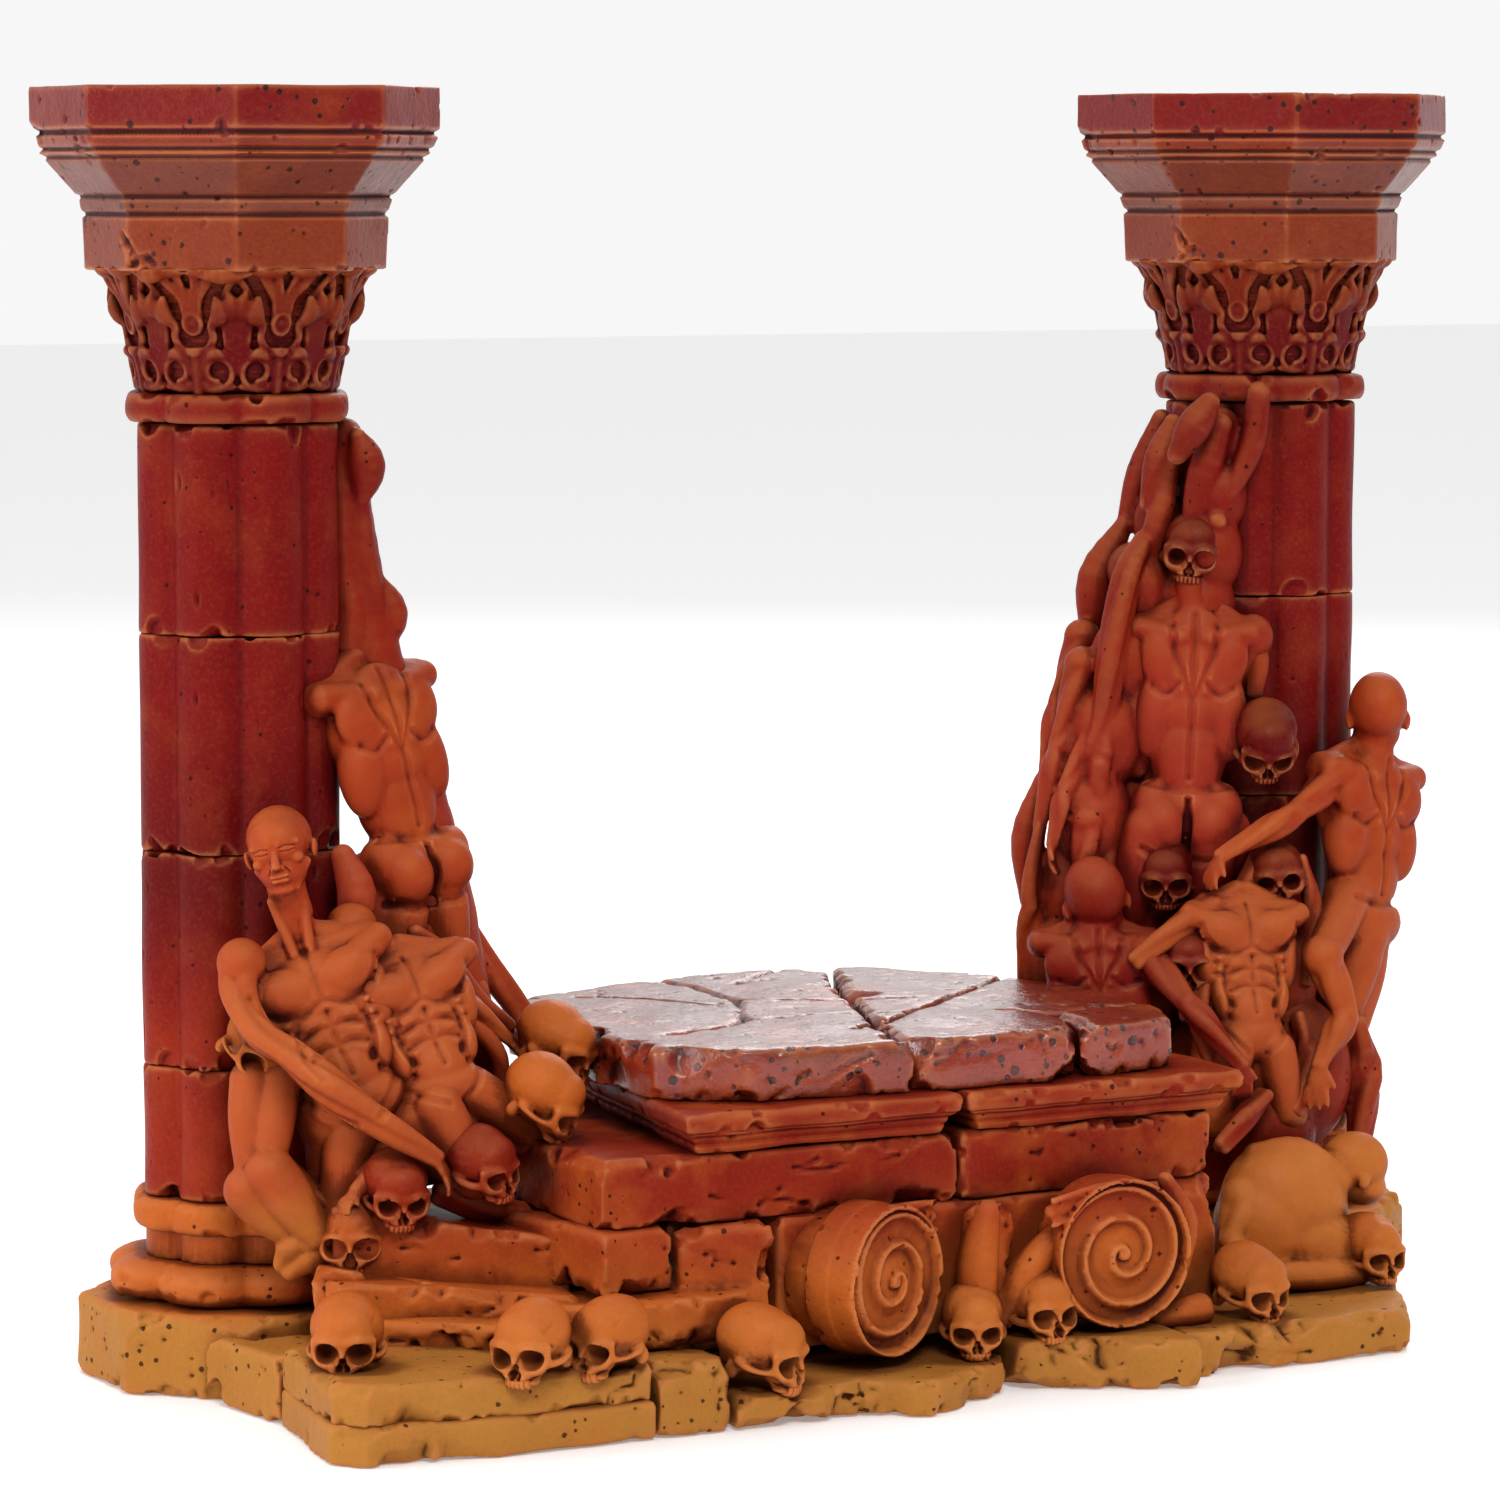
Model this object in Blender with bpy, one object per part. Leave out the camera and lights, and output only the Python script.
"""Ruined gateway for tabletop miniatures: two broken columns, a cracked altar between them, stones, skulls and figures.

All sizes are in millimetres, turned into metres as each mesh is made.
The origin is on the floor, under the middle of the whole piece.
"""

import math
import random

import bmesh
import bpy
from mathutils import Vector

MM = 0.001
SHIFT_Y = 20.6  # from the line through the two columns to the middle of the depth
COLUMN_X = 70.4
GAP = 0.3  # between neighbouring pieces

PLINTH_RADIUS = 19.6
PLINTH_TOP = 9.5
CUSHION = (16.5, 9.8, 14.2)
COLLAR = (13.6, 17.6, 21.4)
SHAFT_RADIUS = 12.15
SHAFT_GROOVE = 10.7
FOOT_BOTTOM = 14.5
DRUM_JOINTS = (21.6, 37.0, 62.0, 87.3, 111.6)
RING = (13.45, 111.9, 115.0)
BELL = ((115.3, 11.7), (118, 12.3), (121, 12.9), (122.5, 14.0), (124, 13.2), (126.5, 14.2), (129.0, 15.4))
CORNICE = ((129.3, 17.5), (136.0, 17.7), (138.0, 18.5), (142.6, 22.7), (144.6, 23.7), (150.0, 23.7))
CORNICE_CHIPS = (
    ((17.5, 21.5, 147.5), (7.5, 4.5, 6.0)),
    ((-8.5, -19.2, 128.0), (5.5, 4.0, 4.2)),
    ((-22.5, 9.0, 144.0), (2.2, 4.0, 2.6)),
)

SLAB_BOTTOM = 34.4
SLAB_TOP = 40.2

SKULL_TRIANGLES = 150
VOXEL = 0.75

COLORS = {
    "ochre": (0.50, 0.24, 0.045),
    "orange": (0.56, 0.15, 0.03),
    "red": (0.36, 0.022, 0.012),
    "crimson": (0.22, 0.010, 0.009),
}


def clear_scene():
    for old in list(bpy.data.objects):
        bpy.data.objects.remove(old, do_unlink=True)


def paint(obj, color):
    material = bpy.data.materials.new(obj.name + "_paint")
    material.use_nodes = True
    shader = material.node_tree.nodes["Principled BSDF"]
    shader.inputs["Base Color"].default_value = (*COLORS[color], 1.0)
    shader.inputs["Roughness"].default_value = 0.5
    obj.data.materials.clear()
    obj.data.materials.append(material)


def mesh_object(name, points, faces, place=(0, 0, 0)):
    """An object from points in mm around its place, with its faces turned outward."""
    mesh = bpy.data.meshes.new(name)
    mesh.from_pydata([Vector(p) * MM for p in points], [], faces)
    bm = bmesh.new()
    bm.from_mesh(mesh)
    bmesh.ops.recalc_face_normals(bm, faces=bm.faces)
    bm.to_mesh(mesh)
    bm.free()
    obj = bpy.data.objects.new(name, mesh)
    bpy.context.scene.collection.objects.link(obj)
    obj.parent = bpy.data.objects["root"]
    obj.location = Vector(place) * MM
    bpy.context.view_layer.update()
    return obj


def shade(obj, sharp=40):
    obj.data.shade_smooth()
    obj.data.set_sharp_from_angle(angle=math.radians(sharp))


def apply_modifiers(obj):
    bpy.ops.object.select_all(action="DESELECT")
    bpy.context.view_layer.objects.active = obj
    obj.select_set(True)
    bpy.ops.object.convert(target="MESH")


def stacked(name, rings, place=(0, 0, 0)):
    """A closed body from rings of the same number of points, lowest first."""
    count = len(rings[0])
    points = [p for ring in rings for p in ring]
    faces = [tuple(range(count))[::-1]]
    for level in range(len(rings) - 1):
        low, high = level * count, (level + 1) * count
        for i in range(count):
            j = (i + 1) % count
            faces.append((low + i, low + j, high + j, high + i))
    top = (len(rings) - 1) * count
    faces.append(tuple(range(top, top + count)))
    return mesh_object(name, points, faces, place)


# ---------------------------------------------------------------- columns


def octagon(radius):
    angles = [math.radians(22.5 + 45 * i) for i in range(8)]
    return [(radius * math.cos(a), radius * math.sin(a)) for a in angles]


def eight_lobes(radius, groove, per_lobe=4):
    """Outline of eight rounded lobes that face the flats of the octagon."""
    points = []
    for lobe in range(8):
        for step in range(per_lobe):
            turn = step / per_lobe - 0.5
            angle = math.radians(45 * (lobe + turn))
            swell = math.sqrt(max(0.0, 1 - (2 * turn) ** 2))
            reach = groove + (radius - groove) * swell
            points.append((reach * math.cos(angle), reach * math.sin(angle)))
    return points


def lobed_ring(name, x, radius, groove, levels):
    """Levels are (z, how much the outline draws in)."""
    rings = []
    for z, inset in levels:
        outline = eight_lobes(radius - inset, groove - inset)
        rings.append([(px, py, z) for px, py in outline])
    ring = stacked(name, rings, (x, 0, 0))
    shade(ring)
    return ring


def bulging(low, high, soft):
    """Levels of a rounded moulding between two heights."""
    return [(low, soft), (low + soft, soft * 0.25), ((low + high) / 2, 0), (high - soft, soft * 0.25), (high, soft)]


def column(side, x):
    levels = ((0, PLINTH_RADIUS), (PLINTH_TOP - 0.6, PLINTH_RADIUS), (PLINTH_TOP, PLINTH_RADIUS - 0.6))
    plinth = [[(px, py, z) for px, py in octagon(radius)] for z, radius in levels]
    paint(stacked(f"plinth_{side}", plinth, (x, 0, 0)), "ochre")
    radius, low, high = CUSHION
    paint(lobed_ring(f"base_cushion_{side}", x, radius, 15.2, bulging(low, high, 1.2)), "ochre")
    radius, low, high = COLLAR
    foot = [(FOOT_BOTTOM, 1.2), (low - 0.1, 1.5)]
    paint(lobed_ring(f"base_collar_{side}", x, radius, 12.2, foot + bulging(low, high, 0.7)), "orange")
    for number in range(4):
        low, high = DRUM_JOINTS[number] + 0.15, DRUM_JOINTS[number + 1] - 0.15
        levels = ((low, 0.5), (low + 0.5, 0), (high - 0.5, 0), (high, 0.5))
        drum = lobed_ring(f"shaft_drum_{number + 1}_{side}", x, SHAFT_RADIUS, SHAFT_GROOVE, levels)
        paint(drum, "red")
    radius, low, high = RING
    paint(lobed_ring(f"necking_ring_{side}", x, radius, 12.3, bulging(low, high, 0.5)), "red")
    capital(side, x)
    cornice(side, x)


def capital(side, x):
    """A bell whose two tiers of leaves show as ribs that swell at their tips."""
    rings = []
    for z, radius in BELL:
        ring = []
        for i in range(40):
            angle = math.tau * i / 40
            tier = 8 if z > 122 else 16
            leaf = 0.35 * math.cos(tier * angle)
            ring.append(((radius + leaf) * math.cos(angle), (radius + leaf) * math.sin(angle), z))
        rings.append(ring)
    bell = stacked(f"capital_{side}", rings, (x, 0, 0))
    shade(bell)
    paint(bell, "crimson")


def cornice(side, x):
    rings = [[(px, py, z) for px, py in octagon(radius)] for z, radius in CORNICE]
    body = stacked(f"cornice_{side}", rings, (x, 0, 0))
    for number, (centre, size) in enumerate(CORNICE_CHIPS):
        cutter = rough_rock(f"chip_{number}_{side}", centre, size, number, (x, 0, 0))
        subtract(body, cutter)
    paint(body, "red")


# ---------------------------------------------------------------- stones


def rough_rock(name, centre, size, seed, place):
    """A low ball with pushed corners, used as a cutter for chipped corners."""
    source = random.Random(seed)
    bm = bmesh.new()
    bmesh.ops.create_icosphere(bm, subdivisions=1, radius=1)
    for vertex in bm.verts:
        vertex.co *= source.uniform(0.85, 1.15)
    points = [[c + v.co[i] * size[i] for i, c in enumerate(centre)] for v in bm.verts]
    faces = [[v.index for v in face.verts] for face in bm.faces]
    bm.free()
    cutter = mesh_object(name, points, faces, place)
    cutter.hide_render = True
    cutter.display_type = "WIRE"
    return cutter


def subtract(body, cutter):
    """Cuts one mesh from another, then removes the cutter."""
    modifier = body.modifiers.new("cut", "BOOLEAN")
    modifier.operation = "DIFFERENCE"
    modifier.solver = "EXACT"
    modifier.object = cutter
    apply_modifiers(body)
    bpy.data.objects.remove(cutter, do_unlink=True)


def inset(outline, distance):
    """The outline drawn in by a distance, side by side. The outline runs counter-clockwise."""
    result = []
    count = len(outline)
    for i in range(count):
        before, here, after = (Vector(outline[(i + k) % count]) for k in (-1, 0, 1))
        first = (here - before).normalized()
        second = (after - here).normalized()
        inward = Vector((-first.y, first.x)) + Vector((-second.y, second.x))
        scale = distance / max(0.35, inward.length_squared / 2)
        point = here + inward * scale
        result.append((point.x, point.y))
    return result


def counter_clockwise(outline):
    count = len(outline)
    area = sum(outline[i][0] * outline[(i + 1) % count][1] - outline[(i + 1) % count][0] * outline[i][1]
               for i in range(count))
    return list(outline) if area > 0 else list(outline)[::-1]


def stone(name, outline, low, high, color, edge=0.5, tilt=(0.0, 0.0)):
    """A block with a worn upper edge. Tilt lowers its top per mm along X and Y from the first corner."""
    outline = counter_clockwise(outline)
    start = outline[0]
    levels = ((low, 0.0, 0.0), (high - edge, 0.0, 1.0), (high, edge, 1.0))
    rings = []
    for z, drawn_in, tilted in levels:
        ring = inset(outline, drawn_in) if drawn_in else outline
        fall = [tilted * (tilt[0] * (px - start[0]) + tilt[1] * (py - start[1])) for px, py in ring]
        rings.append([(px, py, z - f) for (px, py), f in zip(ring, fall)])
    obj = stacked(name, rings)
    paint(obj, color)
    return obj


def moulding(name, outline):
    """Two stepped bands under the slab."""
    outline = counter_clockwise(outline)
    profile = ((29.6, 2.0), (31.6, 1.2), (32.0, 0.2), (33.7, 0.0), (34.1, 0.4))
    rings = [[(px, py, z) for px, py in inset(outline, d)] for z, d in profile]
    paint(stacked(name, rings), "orange")


def volute(name, centre, radius, depth, turn, color):
    """A scroll end: a short barrel whose face carries raised rings. Turn is about Z, in degrees from -Y."""
    out = Vector((math.sin(math.radians(turn)), -math.cos(math.radians(turn)), 0))
    side = Vector((out.y, -out.x, 0))
    up = Vector((0, 0, 1))
    profile = ((-depth, 0.93), (-1.2, 1.0), (0, 0.96), (0.3, 0.86), (-0.8, 0.78), (-0.8, 0.62), (0.2, 0.55),
               (0.2, 0.45), (-0.7, 0.38), (-0.5, 0.2), (0.5, 0.13), (0.5, 0.08))
    rings = []
    for along, share in profile:
        ring = []
        for i in range(20):
            angle = math.tau * i / 20
            offset = side * math.cos(angle) + up * math.sin(angle)
            ring.append(tuple(Vector(centre) + out * along + offset * radius * share))
        rings.append(ring)
    paint(stacked(name, rings), color)


STONES = (
    ("ground_slab", ((-79.2, -31.3), (-82.7, -52.5), (-79.7, -55.9), (-64.5, -57.7), (-45.2, -57.8), (-45.2, -48.2),
                     (-34.6, -48.2), (-34.6, -44.2), (63.2, -44.2), (70, -33), (80.3, -17.0), (61, 17.3), (20, 18.2),
                     (-20, 17.8), (-61, 17.0), (-62.2, -31.3)), 0, 4.4, "ochre"),
    ("foot_stone", ((-81.9, -15.0), (-78.1, -18.7), (-62.6, -18.7), (-62.6, -30.9), (-79.4, -30.9)), 0, 7.6, "ochre"),
    ("corner_stone", ((-79, -31.4), (-82.2, -52.2), (-79.4, -55.5), (-64.5, -57.2), (-45.6, -57.4), (-45.3, -48.2),
                      (-41, -43), (-41, -20.5), (-62.2, -20.5), (-62.2, -31.4)), 4.7, 8.2, "ochre"),
    ("front_block", ((-44.9, -57.9), (-35.9, -57.7), (-35.0, -48.6), (-44.9, -48.6)), 0, 8.1, "ochre"),
    ("tip_paver", ((-35.3, -58.4), (-15.9, -58.5), (-13.2, -62.3), (-7, -59.4), (3.4, -53.3), (3.4, -44.6),
                   (-34.2, -44.6), (-34.4, -50)), 0, 3.9, "ochre"),
    ("right_paver", ((3.8, -53.5), (23.2, -63.1), (24, -60), (24, -44.6), (3.8, -44.6)), 0, 5.7, "ochre"),
    ("far_paver", ((24.4, -57.6), (37.4, -56.9), (56.6, -56.3), (62.8, -45.6), (62.8, -44.6), (24.4, -44.6)),
     0, 5.1, "ochre"),
    ("step_low", ((-72, -30), (-69, -35.5), (-58, -45.2), (-47.4, -52.6), (-46.8, -22), (-61, -21)),
     8.5, 11.3, "orange"),
    ("step_one", ((-57, -9.5), (-52.8, -20), (-47.8, -38.5), (-46.6, -47.6), (-37.2, -46), (-37.2, -9.5)),
     14.4, 21.3, "orange"),
    ("altar_core", ((-36.5, -43.3), (-24.6, -43.3), (-24.0, -46.6), (35.4, -46.4), (37, -40), (37, 0), (24, 9.6),
                    (-24, 9.6), (-36.5, 2)), 6.0, 21.2, "orange"),
    ("course_left", ((-46.2, -45.9), (-46.7, -25), (-40, -6), (-30, 6), (-0.3, 8), (-0.3, -46.4), (-35, -46.2)),
     21.6, 29.2, "orange"),
    ("course_right", ((0.3, -46.4), (34.6, -45.8), (36.5, -40), (36.5, 2), (24, 9), (0.3, 8.6)),
     21.6, 29.2, "orange"),
    ("slab_left", ((-34.5, 3), (-35.6, -22.9), (-34.7, -36.6), (-26.0, -43.0), (-5.2, -45.2), (-6.0, -41.3),
                   (-1.6, -27.3), (4.4, -11.5), (9.1, 0.9), (15.7, 14.6), (3.9, 17.0), (-16.4, 14.4), (-28.7, 8.8)),
     SLAB_BOTTOM, SLAB_TOP, "red"),
    ("slab_right", ((-4.5, -45.3), (15.8, -45.8), (20.0, -38.8), (19.6, -32), (34.9, -30.6), (35.0, -9),
                    (29.6, 1.5), (19.8, 15.0), (16.4, 14.6), (9.8, 0.6), (5.1, -11.8), (-0.9, -27.5),
                    (-5.3, -41.4)), SLAB_BOTTOM, SLAB_TOP, "red"),
    ("slab_corner", ((16.5, -45.8), (31, -43.2), (34.6, -35), (34.9, -31), (20.0, -32.4), (20.5, -39)),
     SLAB_BOTTOM, SLAB_TOP, "red"),
)

WEDGE_STONE = ((-74.2, -28.0), (-66, -33.6), (-50, -37.5), (-48.4, -28), (-51, -14), (-56.4, -10.6))
WEDGE_LOW = 11.6
WEDGE_HIGH = 16.9
WEDGE_FALL = 0.16
RUBBLE = (
    (8.5, ((-46.2, -49.4), (-36.2, -51.0), (-27, -50.8), (-26.8, -43.8), (-46.2, -43.8))),
    (13.8, ((-46.2, -49.2), (-36.2, -50.7), (-27.2, -50.5), (-26.8, -43.8), (-46.2, -43.8))),
    (14.2, ((-36.8, -46.8), (-33.2, -47.9), (-26.4, -49.6), (-25.6, -43.8), (-36.8, -43.8))),
    (20.6, ((-36.8, -46.9), (-33.2, -48.2), (-26.0, -49.8), (-25, -43.8), (-36.8, -43.8))),
    (21.2, ((-36.4, -46.5), (-33.4, -47.7), (-26.4, -49.2), (-25.4, -43.8), (-36.4, -43.8))),
)
LEANING_STONE = (((0.2, -50.2), (5.4, -50.4), (5.8, -47.0), (-0.4, -47.0)), 6.0, 21.0)


def altar():
    for name, outline, low, high, color in STONES:
        block = stone(name, outline, low, high, color)
        if name == "ground_slab":
            cut_clear(block)
    wedge = list(WEDGE_STONE)
    rings = []
    for z, tilted in ((WEDGE_LOW, 0.0), (WEDGE_HIGH, 1.0)):
        rings.append([(x, y, z - tilted * WEDGE_FALL * (x - wedge[0][0])) for x, y in wedge])
    paint(stacked("step_wedge", rings), "orange")
    rubble = [[(x, y, z) for x, y in outline] for z, outline in RUBBLE]
    paint(stacked("rubble_stack", rubble), "ochre")
    moulding("moulding_left", ((-36.6, -48.2), (-0.3, -48.2), (-0.3, 11), (-20, 11), (-29, 3), (-31, -9.5)))
    moulding("moulding_right", ((0.3, -48.2), (38.2, -48.2), (38.2, -2), (26, 11), (0.3, 11)))
    volute("volute_left", (-11.6, -52.4, 13.9), 8.7, 4.4, 6, "ochre")
    volute("volute_right", (17.6, -52.6, 14.9), 8.8, 4.4, -8, "orange")
    outline, low, high = LEANING_STONE
    stone("leaning_stone", outline, low, high, "ochre")


# ---------------------------------------------------------------- skulls and figures


def ball(centre, radii, subdivisions=2):
    bm = bmesh.new()
    bmesh.ops.create_icosphere(bm, subdivisions=subdivisions, radius=1)
    points = [[c + v.co[i] * radii[i] for i, c in enumerate(centre)] for v in bm.verts]
    faces = [[v.index for v in face.verts] for face in bm.faces]
    bm.free()
    return points, faces


def limb(start, end):
    """A round bar whose ends are (x, y, z, radius), with round caps: one ball stretched between them."""
    a, b = Vector(start[:3]), Vector(end[:3])
    axis = b - a
    points, faces = ball((0, 0, 0), (1, 1, 1))
    turn = axis.to_track_quat("Z", "Y") if axis.length > 1e-6 else Vector((0, 0, 1)).to_track_quat("Z", "Y")
    moved = []
    for point in points:
        p = Vector(point)
        base, radius = (b, end[3]) if p.z > 0 else (a, start[3])
        moved.append(tuple(base + turn @ p * radius))
    return moved, faces


def merged(name, pieces, place):
    points, faces = [], []
    for piece_points, piece_faces in pieces:
        start = len(points)
        points.extend(piece_points)
        faces.extend([[start + i for i in face] for face in piece_faces])
    return mesh_object(name, points, faces, place)


def keep_largest(obj):
    """Removes every loose part but the largest."""
    bm = bmesh.new()
    bm.from_mesh(obj.data)
    todo = set(bm.verts)
    parts = []
    while todo:
        part = {todo.pop()}
        edge = list(part)
        while edge:
            vertex = edge.pop()
            for link in vertex.link_edges:
                other = link.other_vert(vertex)
                if other in todo:
                    todo.discard(other)
                    part.add(other)
                    edge.append(other)
        parts.append(part)
    parts.sort(key=len)
    for part in parts[:-1]:
        bmesh.ops.delete(bm, geom=list(part), context="VERTS")
    bmesh.ops.dissolve_degenerate(bm, dist=2e-6, edges=bm.edges)
    bmesh.ops.triangulate(bm, faces=bm.faces)
    bm.to_mesh(obj.data)
    bm.free()


def organic(name, pieces, color, triangles, place=(0, 0, 0)):
    """One rounded body from many: remeshed, thinned, then cut clear of the pieces made before it."""
    obj = merged(name, pieces, place)
    remesh = obj.modifiers.new("remesh", "REMESH")
    remesh.mode = "VOXEL"
    remesh.voxel_size = VOXEL * MM
    apply_modifiers(obj)
    keep_largest(obj)
    thin = obj.modifiers.new("thin", "DECIMATE")
    thin.ratio = min(1.0, triangles / max(1, len(obj.data.polygons)))
    apply_modifiers(obj)
    cut_clear(obj)
    shade(obj, 60)
    paint(obj, color)
    return obj


def world_box(obj):
    corners = [obj.matrix_world @ v.co for v in obj.data.vertices]
    low = [min(c[i] for c in corners) for i in range(3)]
    high = [max(c[i] for c in corners) for i in range(3)]
    return low, high


def cut_clear(obj):
    """Cuts away what lies within the gap of each earlier piece."""
    low, high = world_box(obj)
    near = []
    for other in bpy.data.objects:
        if other is obj or other.type != "MESH":
            continue
        other_low, other_high = world_box(other)
        if all(low[i] < other_high[i] + GAP * MM and other_low[i] - GAP * MM < high[i] for i in range(3)):
            near.append(other)
    for other in near:
        cutter = grown_copy(other)
        subtract(obj, cutter)
        if not obj.data.polygons:
            raise ValueError(obj.name + " was cut away by " + other.name)
    keep_largest(obj)


def grown_copy(other):
    """A copy a little larger all round: each point moves out by the gap along the faces that meet there."""
    copy = other.copy()
    copy.data = other.data.copy()
    bpy.context.scene.collection.objects.link(copy)
    bpy.context.view_layer.update()
    bm = bmesh.new()
    bm.from_mesh(copy.data)
    moves = {}
    for vertex in bm.verts:
        normals = []
        for face in vertex.link_faces:
            if all(face.normal.dot(seen) < 0.95 for seen in normals):
                normals.append(face.normal.copy())
        move = Vector()
        for _ in range(12):
            for normal in normals:
                short = 1.15 * GAP * MM - move.dot(normal)
                if short > 0:
                    move += normal * short
        if move.length > 3 * GAP * MM:
            move = move.normalized() * 3 * GAP * MM
        moves[vertex] = move
    for vertex, move in moves.items():
        vertex.co += move
    bm.to_mesh(copy.data)
    bm.free()
    copy.hide_render = True
    copy.display_type = "WIRE"
    return copy


def skull(name, place, turn, color="orange", lean=0.0, size=1.0):
    """A skull standing at place (its lowest point). Turn is the way it looks, in degrees about Z from -Y."""
    x, y, z = place
    look = math.radians(turn)
    forward = Vector((math.sin(look), -math.cos(look), 0))
    side = Vector((math.cos(look), math.sin(look), 0))
    tip = math.radians(lean)

    def put(ahead, across, up):
        level = ahead * math.cos(tip) + up * math.sin(tip)
        height = up * math.cos(tip) - ahead * math.sin(tip)
        p = Vector((x, y, z)) + (forward * level + side * across + Vector((0, 0, height))) * size
        return tuple(p)

    cranium = ball(put(-0.6, 0, 5.4), (4.5 * size, 4.7 * size, 4.1 * size))
    brow = limb((*put(2.4, -2.1, 5.2), 1.5 * size), (*put(2.4, 2.1, 5.2), 1.5 * size))
    cheek = limb((*put(2.3, -2.2, 3.3), 1.2 * size), (*put(2.3, 2.2, 3.3), 1.2 * size))
    teeth = limb((*put(2.3, -0.9, 1.6), 1.3 * size), (*put(2.3, 0.9, 1.6), 1.3 * size))
    base = limb((*put(-2.4, 0, 2.6), 1.9 * size), (*put(1.4, 0, 2.4), 1.7 * size))
    organic(name, [cranium, brow, cheek, teeth, base], color, SKULL_TRIANGLES)


SKULLS = (
    ("skull_step", (-67.3, -24.6, 16.3), -28, 0, 1.0),
    ("skull_corner", (-76.5, -43.5, 8.5), -30, 0, 1.0),
    ("skull_front_left", (-58.8, -52.4, 8.5), -65, 0, 0.98),
    ("skull_front_right", (-49.4, -50.6, 11.6), -60, 0, 0.92),
    ("skull_side", (-30.8, -54.4, 4.2), 40, 20, 1.05),
    ("skull_cracked", (-0.6, -50.4, 5.0), -20, 0, 0.85),
    ("skull_volute", (8.2, -50.6, 6.0), 4, 0, 0.9),
    ("skull_right", (37.2, -50.2, 5.4), 14, 10, 0.95),
)


def chain(*joints):
    """Limbs through joints given as (x, y, z, radius)."""
    return [limb(a, b) for a, b in zip(joints, joints[1:])]


def left_figures(x):
    """Sizes are from the axis of the left column."""
    axis = (x, 0, 0)
    reclining = [ball((-3.4, -17.6, 63.4), (3.7, 4.4, 5.0)), ball((1, -19.2, 48.8), (6.4, 4.0, 5.2)),
                 ball((2.2, -21.4, 41.2), (4.6, 3.6, 4.4)), ball((3, -22.4, 34.8), (5.0, 4.0, 4.2))]
    reclining += chain((-1.8, -17.4, 58.5, 2.1), (0.2, -18.2, 53.0, 2.5))
    reclining += chain((-6.4, -17.8, 50.2, 2.9), (7.0, -18.4, 53.6, 2.8))
    reclining += chain((-6.4, -17.8, 50.2, 2.6), (-5.4, -20.5, 44.0, 2.1), (-4.0, -23.6, 40.4, 2.2),
                       (3.2, -28.0, 34.4, 1.8), (10.4, -27.0, 29.2, 1.5), (16.5, -22.5, 24.4, 1.3))
    reclining += chain((2.5, -21.5, 34.0, 4.0), (-1.0, -22.0, 28.0, 4.0), (-3.0, -23.0, 19.5, 3.4))
    reclining += chain((-5.2, -19.6, 34.2, 2.8), (-5.0, -21.0, 25.0, 2.9), (-3.0, -23.0, 18.5, 3.2))
    organic("figure_reclining", reclining, "orange", 620, axis)
    torso = [ball((9.6, -22.6, 49.0), (4.6, 3.7, 4.4)), ball((10.4, -24.8, 42.8), (4.3, 3.3, 4.8)),
             ball((11.6, -26.8, 36.6), (4.9, 3.9, 4.4))]
    torso += chain((14.4, -27.4, 35.4, 3.7), (23.0, -27.0, 30.8, 2.8))
    torso += chain((10.0, -28.6, 34.0, 3.4), (13.0, -30.0, 28.5, 3.0))
    torso += chain((13.6, -20.8, 50.4, 1.9), (17.6, -20.8, 46.2, 1.5), (23.0, -20.5, 42.4, 1.3))
    torso += chain((15.0, -24.6, 43.4, 1.5), (21.0, -25.6, 37.4, 1.6), (20.0, -26.0, 32.0, 2.0))
    organic("figure_torso_left", torso, "orange", 480, axis)
    back = [ball((12.5, -11.5, 79), (4.9, 4.9, 6.2)), ball((14, -12.2, 71), (4.8, 4.8, 6.0)),
            ball((14.8, -13, 64.5), (4.4, 4.4, 4.4)), ball((9.8, -17.6, 59.2), (4.2, 4.2, 4.4)),
            ball((16.6, -14.8, 58.8), (4.4, 4.4, 4.4))]
    back += chain((10.2, -12.4, 83.4, 3.2), (9.8, -10.8, 90, 2.6), (9.6, -10.6, 99, 2.2), (10.2, -9.6, 108, 2.4))
    back += chain((10.0, -17.0, 57, 3.8), (9.4, -17.8, 50, 3.1))
    back += chain((16.4, -14.8, 57, 4.0), (17.0, -16.0, 47, 3.2), (24.0, -14.0, 42.5, 1.8))
    organic("figure_back_left", back, "orange", 520, axis)
    cloth = chain((13.4, -5.0, 108, 2.0), (14.0, -2.5, 96, 2.8), (16.0, -3.0, 84, 3.2), (19.0, -4.5, 70, 3.8),
                  (22.5, -7.0, 57, 3.8), (27.0, -10.0, 46, 3.2), (33.0, -11.0, 39.5, 2.2))
    cloth += chain((20.0, -8.0, 52, 6.0), (22.0, -12.0, 38, 7.0), (14.0, -18.0, 27, 6.5), (6.0, -20.0, 24, 5.0))
    organic("drapery_left", cloth, "red", 480, axis)


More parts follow.
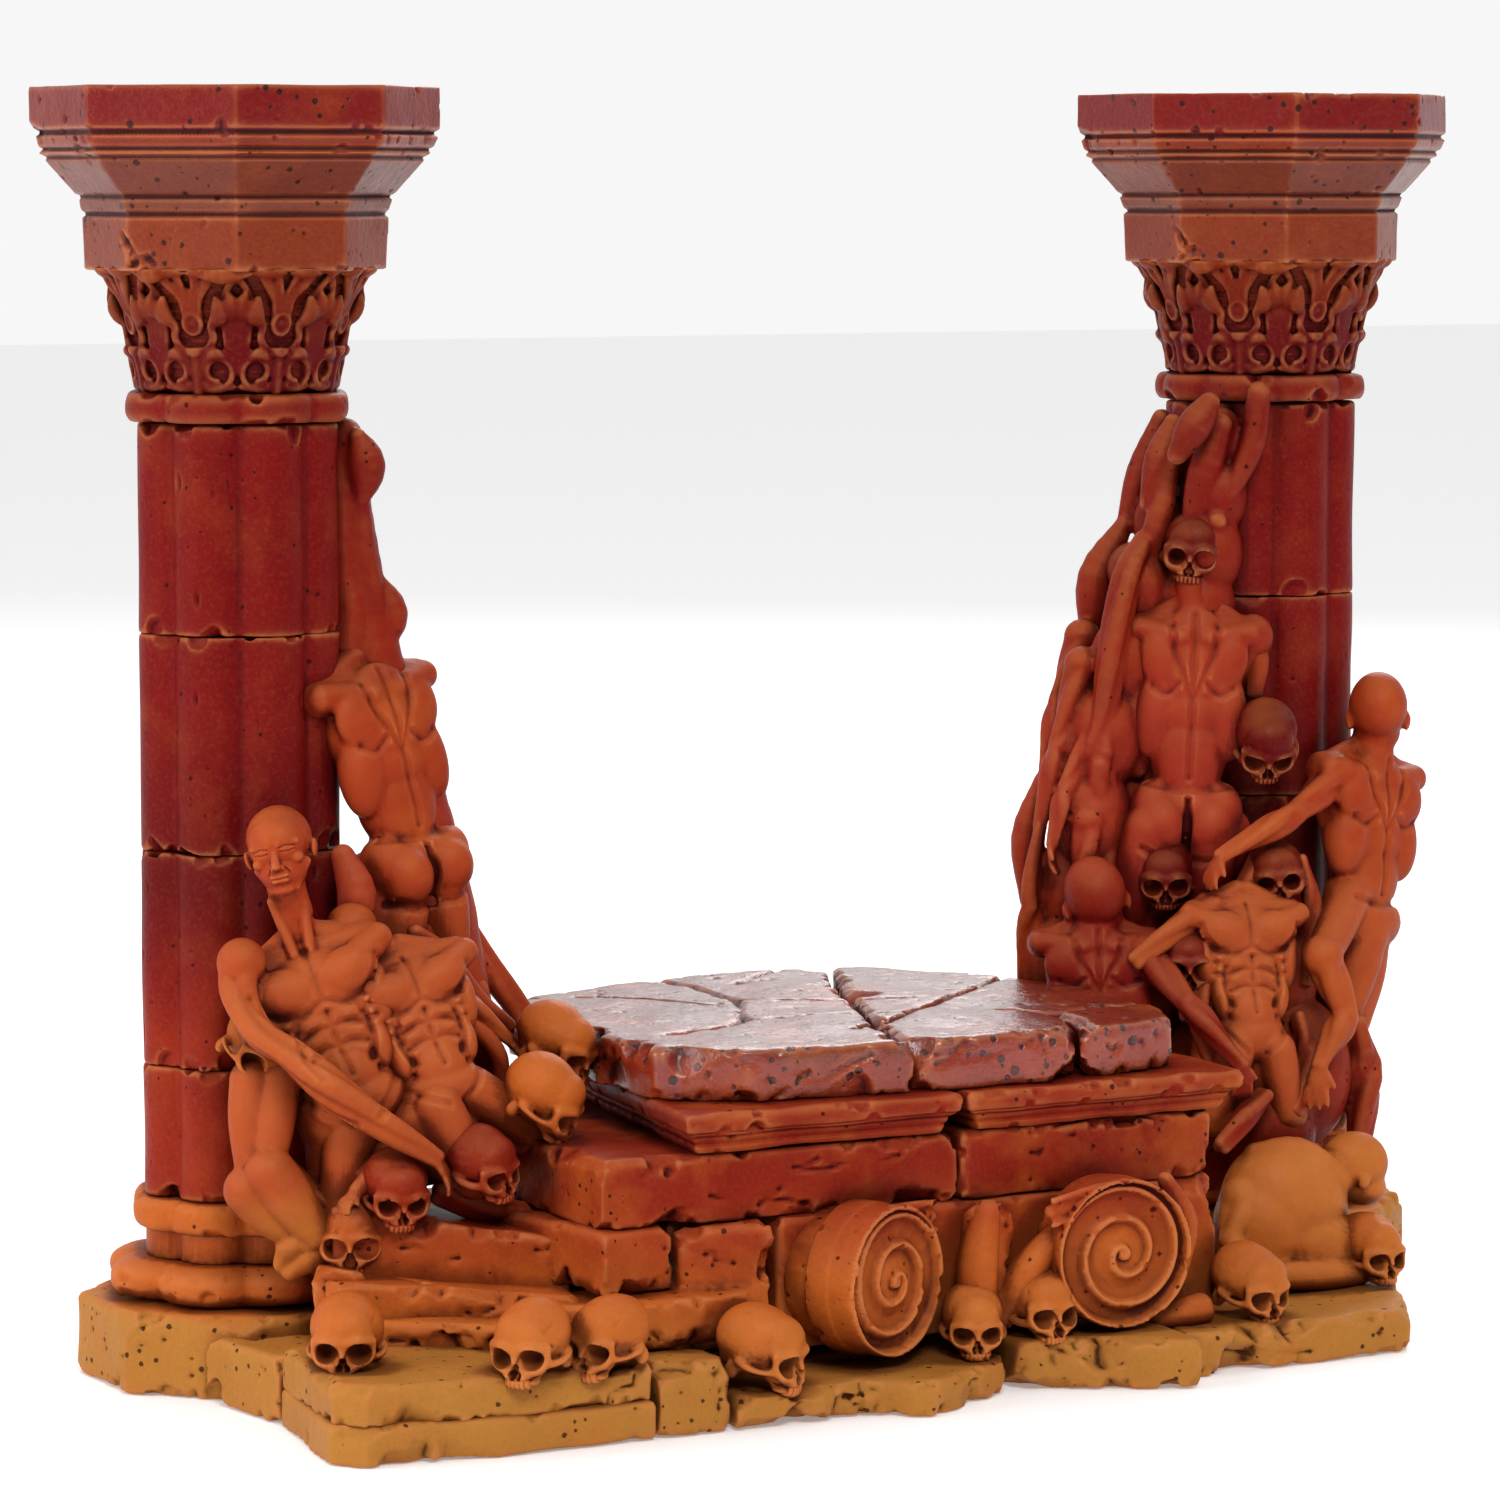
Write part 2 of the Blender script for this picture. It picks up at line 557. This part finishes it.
def right_figures(x):
    """Sizes are from the axis of the right column."""
    axis = (x, 0, 0)
    back = [ball((-14.6, -9.8, 76.5), (6.2, 6.2, 6.8)), ball((-15.2, -10.4, 67.5), (4.9, 4.9, 5.0)),
            ball((-18.3, -8.6, 59.0), (4.4, 4.4, 4.6)), ball((-14.2, -14.0, 59.0), (4.4, 4.4, 4.6))]
    back += chain((-13.6, -9.8, 87.0, 2.2), (-14.0, -9.8, 80.5, 3.6))
    back += chain((-18.0, -1.5, 80.0, 3.0), (-9.6, -14.0, 82.0, 3.0))
    back += chain((-18.6, 0.5, 79.0, 2.2), (-20.0, 4.5, 73.5, 1.9), (-19.0, 6.5, 69.0, 1.6))
    back += chain((-19.0, -8.0, 57.0, 4.0), (-20.6, -7.0, 47.0, 3.5))
    back += chain((-14.0, -14.0, 57.0, 4.0), (-13.4, -15.0, 47.0, 3.5))
    organic("figure_back_right", back, "red", 620, axis)
    reaching = [ball((5.7, -16.6, 73.6), (3.5, 3.9, 4.2)), ball((4.6, -17.4, 58.5), (6.0, 4.6, 7.6)),
                ball((2.2, -17.8, 48.5), (4.8, 4.0, 6.0))]
    reaching += chain((5.2, -16.6, 70.5, 2.1), (4.6, -17.0, 66.0, 2.8))
    reaching += chain((-0.6, -18.2, 65.4, 3.0), (8.6, -14.0, 64.5, 3.2))
    reaching += chain((-0.7, -19.0, 65.5, 2.4), (-7.0, -20.8, 64.0, 2.0), (-13.5, -22.0, 60.0, 1.8),
                      (-17.4, -20.6, 56.4, 1.5), (-19.4, -18.8, 52.4, 1.4))
    reaching += chain((0.5, -18.6, 46.0, 3.6), (-4.0, -23.0, 43.4, 2.8), (-5.4, -25.6, 37.0, 2.3),
                      (-10.6, -28.4, 30.0, 1.8), (-11.0, -29.4, 25.4, 1.9))
    reaching += chain((1.0, -18.4, 44.0, 4.2), (0.4, -18.8, 34.0, 4.0), (0.0, -19.4, 25.0, 3.8))
    organic("figure_reaching", reaching, "orange", 620, axis)
    torso = [ball((-14.5, -22.2, 47.4), (5.2, 3.9, 4.6)), ball((-14.8, -23.4, 41.0), (4.4, 3.6, 4.6)),
             ball((-15.6, -24.2, 35.4), (5.3, 4.2, 4.4))]
    torso += chain((-17.9, -18.8, 50.2, 2.6), (-9.9, -22.2, 48.0, 2.6))
    torso += chain((-18.6, -24.2, 33.0, 3.5), (-20.4, -25.4, 26.5, 3.1))
    torso += chain((-12.8, -25.6, 32.0, 3.5), (-12.6, -27.0, 26.0, 3.2))
    organic("figure_torso_right", torso, "orange", 480, axis)
    kneeling = [ball((-30.3, -10.6, 49.4), (3.7, 3.9, 4.3)), ball((-31.6, -13.6, 42.6), (6.2, 4.6, 4.0))]
    kneeling += chain((-30.6, -11.0, 47.0, 2.4), (-31.4, -12.4, 43.5, 3.0))
    kneeling += chain((-35.6, -12.2, 43.6, 2.8), (-29.4, -16.4, 43.6, 2.8))
    kneeling += chain((-29.4, -17.0, 43.2, 2.2), (-28.4, -21.3, 41.0, 2.0), (-25.6, -25.4, 36.8, 1.9),
                      (-21.8, -30.0, 31.6, 1.5), (-22.6, -32.6, 27.4, 1.5))
    kneeling += chain((-27.5, -12.0, 40.0, 4.4), (-25.5, -14.0, 31.0, 5.0), (-25.0, -15.0, 21.0, 5.4))
    organic("figure_kneeling", kneeling, "red", 520, axis)
    hunched = [ball((-16.6, -32.4, 15.6), (8.4, 7.4, 8.4)), ball((-6.1, -31.0, 19.4), (3.7, 3.7, 4.0)),
               ball((-15.5, -34.5, 11.0), (7.0, 6.5, 5.6))]
    hunched += chain((-13.0, -31.5, 17.5, 5.0), (-9.0, -31.2, 17.6, 3.2))
    hunched += chain((-22.6, -32.5, 16.0, 3.4), (-24.6, -35.5, 8.6, 2.6))
    organic("figure_hunched", hunched, "orange", 420, axis)
    cloth = chain((-13.6, 3.0, 108, 2.0), (-15.2, 3.4, 102, 3.0), (-17.4, 5.6, 92, 4.2), (-19.4, 7.4, 83, 4.0),
                  (-22.6, 7.6, 73, 4.2), (-27.0, 5.6, 61, 4.2), (-31.6, 1.6, 50, 3.8), (-34.6, 0.6, 43.4, 2.8))
    cloth += chain((-13.0, -6.0, 108, 2.2), (-15.5, -2.0, 99, 2.8), (-18.0, 1.0, 91, 3.0), (-20.0, 3.0, 81, 3.2),
                   (-23.5, 0.6, 67, 3.4), (-27.0, -3.0, 54, 3.8), (-28.0, -5.0, 44, 4.4))
    cloth += chain((-20.0, 1.0, 60, 6.0), (-21.0, -2.0, 47, 7.0), (-20.0, -8.0, 33, 8.0), (-18.0, -14.0, 20, 8.0))
    organic("drapery_right", cloth, "red", 620, axis)


def main():
    clear_scene()
    root = bpy.data.objects.new("root", None)
    root.location = (0, SHIFT_Y * MM, 0)
    bpy.context.scene.collection.objects.link(root)
    column("left", -COLUMN_X)
    column("right", COLUMN_X)
    altar()
    for name, place, turn, lean, size in SKULLS:
        skull(name, place, turn, lean=lean, size=size)
    left_figures(-COLUMN_X)
    right_figures(COLUMN_X)


main()
